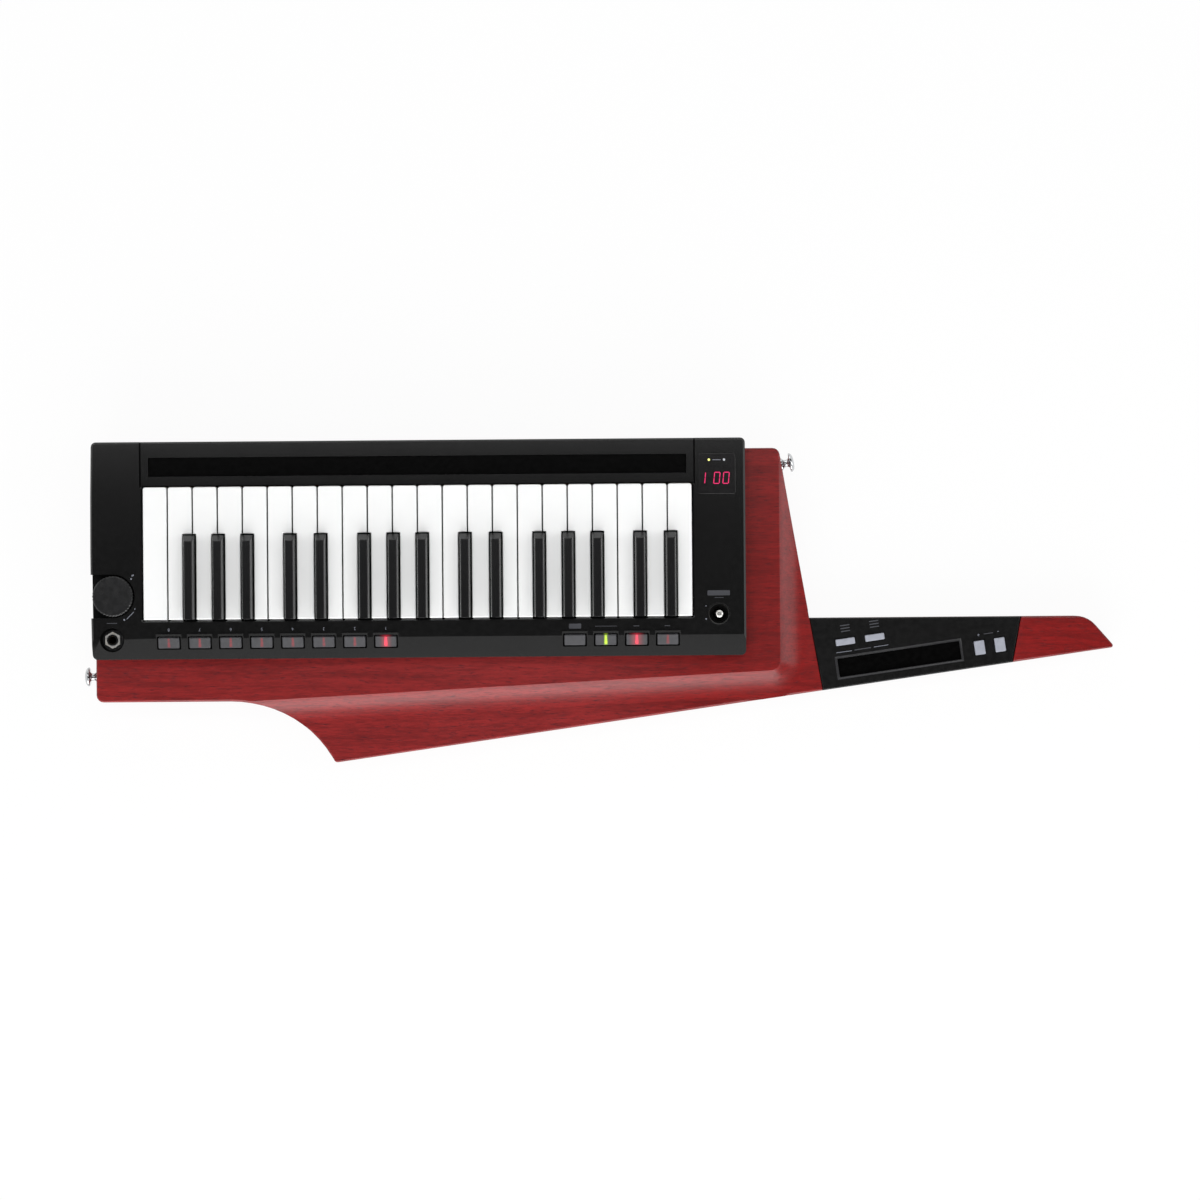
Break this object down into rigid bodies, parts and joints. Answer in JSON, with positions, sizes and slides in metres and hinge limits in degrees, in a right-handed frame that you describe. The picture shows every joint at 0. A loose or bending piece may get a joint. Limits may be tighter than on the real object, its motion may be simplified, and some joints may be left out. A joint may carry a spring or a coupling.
{
  "type": "keytar",
  "caption": "Shoulder-strapped keyboard with sprung slim keys in a black case on a carved red wooden body, and a neck with ribbon and push buttons",
  "frame": {"origin": "on the flat back, behind the middle of the keys", "axes": "+X along the body towards the neck, +Y towards the front edges of the keys, +Z out of the keyboard"},
  "size_m": [0.8518, 0.2648, 0.0695],
  "materials": {
    "red_wood": "red stained, satin lacquer",
    "black_case": "fine satin",
    "black_panel": "fine satin",
    "black_plate": "fine texture",
    "grey_chassis": "moulded",
    "white_key": "gloss",
    "black_key": "satin",
    "grey_button": "matt, ribbed",
    "silver_button": "silver grey",
    "knob_black": "matt, ribbed side",
    "nickel": "bright nickel plate",
    "display_window": "dark gloss",
    "ribbon_film": "black film"
  },
  "bodies": {
    "instrument": {"wooden_body": "red_wood", "back_cover": "black_plate", "front_case": "black_case", "neck_panel": "black_panel", "key_frame": "grey_chassis", "phones_jack": "nickel", "display_window": "display_window", "long_ribbon": "ribbon_film", "short_ribbon": "ribbon_film", "tail_strap_pin": "nickel", "shoulder_strap_pin": "nickel"},
    "white_key_01": {"white_key_01": "white_key"},
    "white_key_02": {"white_key_02": "white_key"},
    "white_key_03": {"white_key_03": "white_key"},
    "white_key_04": {"white_key_04": "white_key"},
    "white_key_05": {"white_key_05": "white_key"},
    "white_key_06": {"white_key_06": "white_key"},
    "white_key_07": {"white_key_07": "white_key"},
    "white_key_08": {"white_key_08": "white_key"},
    "white_key_09": {"white_key_09": "white_key"},
    "white_key_10": {"white_key_10": "white_key"},
    "white_key_11": {"white_key_11": "white_key"},
    "white_key_12": {"white_key_12": "white_key"},
    "white_key_13": {"white_key_13": "white_key"},
    "white_key_14": {"white_key_14": "white_key"},
    "white_key_15": {"white_key_15": "white_key"},
    "white_key_16": {"white_key_16": "white_key"},
    "white_key_17": {"white_key_17": "white_key"},
    "white_key_18": {"white_key_18": "white_key"},
    "white_key_19": {"white_key_19": "white_key"},
    "white_key_20": {"white_key_20": "white_key"},
    "white_key_21": {"white_key_21": "white_key"},
    "white_key_22": {"white_key_22": "white_key"},
    "black_key_01": {"black_key_01": "black_key"},
    "black_key_02": {"black_key_02": "black_key"},
    "black_key_03": {"black_key_03": "black_key"},
    "black_key_04": {"black_key_04": "black_key"},
    "black_key_05": {"black_key_05": "black_key"},
    "black_key_06": {"black_key_06": "black_key"},
    "black_key_07": {"black_key_07": "black_key"},
    "black_key_08": {"black_key_08": "black_key"},
    "black_key_09": {"black_key_09": "black_key"},
    "black_key_10": {"black_key_10": "black_key"},
    "black_key_11": {"black_key_11": "black_key"},
    "black_key_12": {"black_key_12": "black_key"},
    "black_key_13": {"black_key_13": "black_key"},
    "black_key_14": {"black_key_14": "black_key"},
    "black_key_15": {"black_key_15": "black_key"},
    "program_buttons": {"program_buttons": "grey_button"},
    "function_button_1": {"function_button_1": "grey_button"},
    "function_button_2": {"function_button_2": "grey_button"},
    "function_button_3": {"function_button_3": "grey_button"},
    "function_button_4": {"function_button_4": "grey_button"},
    "ribbon_button_1": {"ribbon_button_1": "silver_button"},
    "ribbon_button_2": {"ribbon_button_2": "silver_button"},
    "octave_button_1": {"octave_button_1": "silver_button"},
    "octave_button_2": {"octave_button_2": "silver_button"},
    "volume_knob": {"volume_knob": "knob_black"},
    "value_lever": {"value_lever": "nickel"},
    "battery_door": {"battery_door": "black_plate"}
  },
  "joints": [
    {"name": "white_key_01_press", "type": "hinge", "parent": "instrument", "child": "white_key_01", "pos_m": [0, -0.0625, 0.0465], "axis": [-1, 0, 0], "range_deg": [0, 4], "stiffness_Nm_per_rad": 0.35, "springref_deg": -9.17},
    {"name": "white_key_02_press", "type": "hinge", "parent": "instrument", "child": "white_key_02", "pos_m": [0, -0.0625, 0.0465], "axis": [-1, 0, 0], "range_deg": [0, 4], "stiffness_Nm_per_rad": 0.35, "springref_deg": -9.17},
    {"name": "white_key_03_press", "type": "hinge", "parent": "instrument", "child": "white_key_03", "pos_m": [0, -0.0625, 0.0465], "axis": [-1, 0, 0], "range_deg": [0, 4], "stiffness_Nm_per_rad": 0.35, "springref_deg": -9.17},
    {"name": "white_key_04_press", "type": "hinge", "parent": "instrument", "child": "white_key_04", "pos_m": [0, -0.0625, 0.0465], "axis": [-1, 0, 0], "range_deg": [0, 4], "stiffness_Nm_per_rad": 0.35, "springref_deg": -9.17},
    {"name": "white_key_05_press", "type": "hinge", "parent": "instrument", "child": "white_key_05", "pos_m": [0, -0.0625, 0.0465], "axis": [-1, 0, 0], "range_deg": [0, 4], "stiffness_Nm_per_rad": 0.35, "springref_deg": -9.17},
    {"name": "white_key_06_press", "type": "hinge", "parent": "instrument", "child": "white_key_06", "pos_m": [0, -0.0625, 0.0465], "axis": [-1, 0, 0], "range_deg": [0, 4], "stiffness_Nm_per_rad": 0.35, "springref_deg": -9.17},
    {"name": "white_key_07_press", "type": "hinge", "parent": "instrument", "child": "white_key_07", "pos_m": [0, -0.0625, 0.0465], "axis": [-1, 0, 0], "range_deg": [0, 4], "stiffness_Nm_per_rad": 0.35, "springref_deg": -9.17},
    {"name": "white_key_08_press", "type": "hinge", "parent": "instrument", "child": "white_key_08", "pos_m": [0, -0.0625, 0.0465], "axis": [-1, 0, 0], "range_deg": [0, 4], "stiffness_Nm_per_rad": 0.35, "springref_deg": -9.17},
    {"name": "white_key_09_press", "type": "hinge", "parent": "instrument", "child": "white_key_09", "pos_m": [0, -0.0625, 0.0465], "axis": [-1, 0, 0], "range_deg": [0, 4], "stiffness_Nm_per_rad": 0.35, "springref_deg": -9.17},
    {"name": "white_key_10_press", "type": "hinge", "parent": "instrument", "child": "white_key_10", "pos_m": [0, -0.0625, 0.0465], "axis": [-1, 0, 0], "range_deg": [0, 4], "stiffness_Nm_per_rad": 0.35, "springref_deg": -9.17},
    {"name": "white_key_11_press", "type": "hinge", "parent": "instrument", "child": "white_key_11", "pos_m": [0, -0.0625, 0.0465], "axis": [-1, 0, 0], "range_deg": [0, 4], "stiffness_Nm_per_rad": 0.35, "springref_deg": -9.17},
    {"name": "white_key_12_press", "type": "hinge", "parent": "instrument", "child": "white_key_12", "pos_m": [0, -0.0625, 0.0465], "axis": [-1, 0, 0], "range_deg": [0, 4], "stiffness_Nm_per_rad": 0.35, "springref_deg": -9.17},
    {"name": "white_key_13_press", "type": "hinge", "parent": "instrument", "child": "white_key_13", "pos_m": [0, -0.0625, 0.0465], "axis": [-1, 0, 0], "range_deg": [0, 4], "stiffness_Nm_per_rad": 0.35, "springref_deg": -9.17},
    {"name": "white_key_14_press", "type": "hinge", "parent": "instrument", "child": "white_key_14", "pos_m": [0, -0.0625, 0.0465], "axis": [-1, 0, 0], "range_deg": [0, 4], "stiffness_Nm_per_rad": 0.35, "springref_deg": -9.17},
    {"name": "white_key_15_press", "type": "hinge", "parent": "instrument", "child": "white_key_15", "pos_m": [0, -0.0625, 0.0465], "axis": [-1, 0, 0], "range_deg": [0, 4], "stiffness_Nm_per_rad": 0.35, "springref_deg": -9.17},
    {"name": "white_key_16_press", "type": "hinge", "parent": "instrument", "child": "white_key_16", "pos_m": [0, -0.0625, 0.0465], "axis": [-1, 0, 0], "range_deg": [0, 4], "stiffness_Nm_per_rad": 0.35, "springref_deg": -9.17},
    {"name": "white_key_17_press", "type": "hinge", "parent": "instrument", "child": "white_key_17", "pos_m": [0, -0.0625, 0.0465], "axis": [-1, 0, 0], "range_deg": [0, 4], "stiffness_Nm_per_rad": 0.35, "springref_deg": -9.17},
    {"name": "white_key_18_press", "type": "hinge", "parent": "instrument", "child": "white_key_18", "pos_m": [0, -0.0625, 0.0465], "axis": [-1, 0, 0], "range_deg": [0, 4], "stiffness_Nm_per_rad": 0.35, "springref_deg": -9.17},
    {"name": "white_key_19_press", "type": "hinge", "parent": "instrument", "child": "white_key_19", "pos_m": [0, -0.0625, 0.0465], "axis": [-1, 0, 0], "range_deg": [0, 4], "stiffness_Nm_per_rad": 0.35, "springref_deg": -9.17},
    {"name": "white_key_20_press", "type": "hinge", "parent": "instrument", "child": "white_key_20", "pos_m": [0, -0.0625, 0.0465], "axis": [-1, 0, 0], "range_deg": [0, 4], "stiffness_Nm_per_rad": 0.35, "springref_deg": -9.17},
    {"name": "white_key_21_press", "type": "hinge", "parent": "instrument", "child": "white_key_21", "pos_m": [0, -0.0625, 0.0465], "axis": [-1, 0, 0], "range_deg": [0, 4], "stiffness_Nm_per_rad": 0.35, "springref_deg": -9.17},
    {"name": "white_key_22_press", "type": "hinge", "parent": "instrument", "child": "white_key_22", "pos_m": [0, -0.0625, 0.0465], "axis": [-1, 0, 0], "range_deg": [0, 4], "stiffness_Nm_per_rad": 0.35, "springref_deg": -9.17},
    {"name": "black_key_01_press", "type": "hinge", "parent": "instrument", "child": "black_key_01", "pos_m": [0, -0.0625, 0.0465], "axis": [-1, 0, 0], "range_deg": [0, 4], "stiffness_Nm_per_rad": 0.35, "springref_deg": -9.17},
    {"name": "black_key_02_press", "type": "hinge", "parent": "instrument", "child": "black_key_02", "pos_m": [0, -0.0625, 0.0465], "axis": [-1, 0, 0], "range_deg": [0, 4], "stiffness_Nm_per_rad": 0.35, "springref_deg": -9.17},
    {"name": "black_key_03_press", "type": "hinge", "parent": "instrument", "child": "black_key_03", "pos_m": [0, -0.0625, 0.0465], "axis": [-1, 0, 0], "range_deg": [0, 4], "stiffness_Nm_per_rad": 0.35, "springref_deg": -9.17},
    {"name": "black_key_04_press", "type": "hinge", "parent": "instrument", "child": "black_key_04", "pos_m": [0, -0.0625, 0.0465], "axis": [-1, 0, 0], "range_deg": [0, 4], "stiffness_Nm_per_rad": 0.35, "springref_deg": -9.17},
    {"name": "black_key_05_press", "type": "hinge", "parent": "instrument", "child": "black_key_05", "pos_m": [0, -0.0625, 0.0465], "axis": [-1, 0, 0], "range_deg": [0, 4], "stiffness_Nm_per_rad": 0.35, "springref_deg": -9.17},
    {"name": "black_key_06_press", "type": "hinge", "parent": "instrument", "child": "black_key_06", "pos_m": [0, -0.0625, 0.0465], "axis": [-1, 0, 0], "range_deg": [0, 4], "stiffness_Nm_per_rad": 0.35, "springref_deg": -9.17},
    {"name": "black_key_07_press", "type": "hinge", "parent": "instrument", "child": "black_key_07", "pos_m": [0, -0.0625, 0.0465], "axis": [-1, 0, 0], "range_deg": [0, 4], "stiffness_Nm_per_rad": 0.35, "springref_deg": -9.17},
    {"name": "black_key_08_press", "type": "hinge", "parent": "instrument", "child": "black_key_08", "pos_m": [0, -0.0625, 0.0465], "axis": [-1, 0, 0], "range_deg": [0, 4], "stiffness_Nm_per_rad": 0.35, "springref_deg": -9.17},
    {"name": "black_key_09_press", "type": "hinge", "parent": "instrument", "child": "black_key_09", "pos_m": [0, -0.0625, 0.0465], "axis": [-1, 0, 0], "range_deg": [0, 4], "stiffness_Nm_per_rad": 0.35, "springref_deg": -9.17},
    {"name": "black_key_10_press", "type": "hinge", "parent": "instrument", "child": "black_key_10", "pos_m": [0, -0.0625, 0.0465], "axis": [-1, 0, 0], "range_deg": [0, 4], "stiffness_Nm_per_rad": 0.35, "springref_deg": -9.17},
    {"name": "black_key_11_press", "type": "hinge", "parent": "instrument", "child": "black_key_11", "pos_m": [0, -0.0625, 0.0465], "axis": [-1, 0, 0], "range_deg": [0, 4], "stiffness_Nm_per_rad": 0.35, "springref_deg": -9.17},
    {"name": "black_key_12_press", "type": "hinge", "parent": "instrument", "child": "black_key_12", "pos_m": [0, -0.0625, 0.0465], "axis": [-1, 0, 0], "range_deg": [0, 4], "stiffness_Nm_per_rad": 0.35, "springref_deg": -9.17},
    {"name": "black_key_13_press", "type": "hinge", "parent": "instrument", "child": "black_key_13", "pos_m": [0, -0.0625, 0.0465], "axis": [-1, 0, 0], "range_deg": [0, 4], "stiffness_Nm_per_rad": 0.35, "springref_deg": -9.17},
    {"name": "black_key_14_press", "type": "hinge", "parent": "instrument", "child": "black_key_14", "pos_m": [0, -0.0625, 0.0465], "axis": [-1, 0, 0], "range_deg": [0, 4], "stiffness_Nm_per_rad": 0.35, "springref_deg": -9.17},
    {"name": "black_key_15_press", "type": "hinge", "parent": "instrument", "child": "black_key_15", "pos_m": [0, -0.0625, 0.0465], "axis": [-1, 0, 0], "range_deg": [0, 4], "stiffness_Nm_per_rad": 0.35, "springref_deg": -9.17},
    {"name": "program_buttons_press", "type": "slide", "parent": "instrument", "child": "program_buttons", "axis": [0, 0.309, -0.9511], "range_m": [0, 0.0008], "stiffness_N_per_m": 1200, "springref_m": -0.0008},
    {"name": "function_button_1_press", "type": "slide", "parent": "instrument", "child": "function_button_1", "axis": [0, 0.309, -0.9511], "range_m": [0, 0.0008], "stiffness_N_per_m": 1200, "springref_m": -0.0008},
    {"name": "function_button_2_press", "type": "slide", "parent": "instrument", "child": "function_button_2", "axis": [0, 0.309, -0.9511], "range_m": [0, 0.0008], "stiffness_N_per_m": 1200, "springref_m": -0.0008},
    {"name": "function_button_3_press", "type": "slide", "parent": "instrument", "child": "function_button_3", "axis": [0, 0.309, -0.9511], "range_m": [0, 0.0008], "stiffness_N_per_m": 1200, "springref_m": -0.0008},
    {"name": "function_button_4_press", "type": "slide", "parent": "instrument", "child": "function_button_4", "axis": [0, 0.309, -0.9511], "range_m": [0, 0.0008], "stiffness_N_per_m": 1200, "springref_m": -0.0008},
    {"name": "ribbon_button_1_press", "type": "slide", "parent": "instrument", "child": "ribbon_button_1", "axis": [0, 0, -1], "range_m": [0, 0.0008], "stiffness_N_per_m": 1200, "springref_m": -0.0008},
    {"name": "ribbon_button_2_press", "type": "slide", "parent": "instrument", "child": "ribbon_button_2", "axis": [0, 0, -1], "range_m": [0, 0.0008], "stiffness_N_per_m": 1200, "springref_m": -0.0008},
    {"name": "octave_button_1_press", "type": "slide", "parent": "instrument", "child": "octave_button_1", "axis": [0, 0, -1], "range_m": [0, 0.0008], "stiffness_N_per_m": 1200, "springref_m": -0.0008},
    {"name": "octave_button_2_press", "type": "slide", "parent": "instrument", "child": "octave_button_2", "axis": [0, 0, -1], "range_m": [0, 0.0008], "stiffness_N_per_m": 1200, "springref_m": -0.0008},
    {"name": "volume_turn", "type": "hinge", "parent": "instrument", "child": "volume_knob", "pos_m": [-0.24943, -0.0371, 0.057], "axis": [0, 0, 1], "range_deg": [-150, 150]},
    {"name": "value_tilt", "type": "hinge", "parent": "instrument", "child": "value_lever", "pos_m": [0.24593, -0.055, 0.045], "axis": [1, 0, 0], "range_deg": [-12, 12], "stiffness_Nm_per_rad": 0.05},
    {"name": "battery_door_open", "type": "hinge", "parent": "instrument", "child": "battery_door", "pos_m": [-0.13, 0.0257, 0], "axis": [1, 0, 0], "range_deg": [0, 80]}
  ]
}
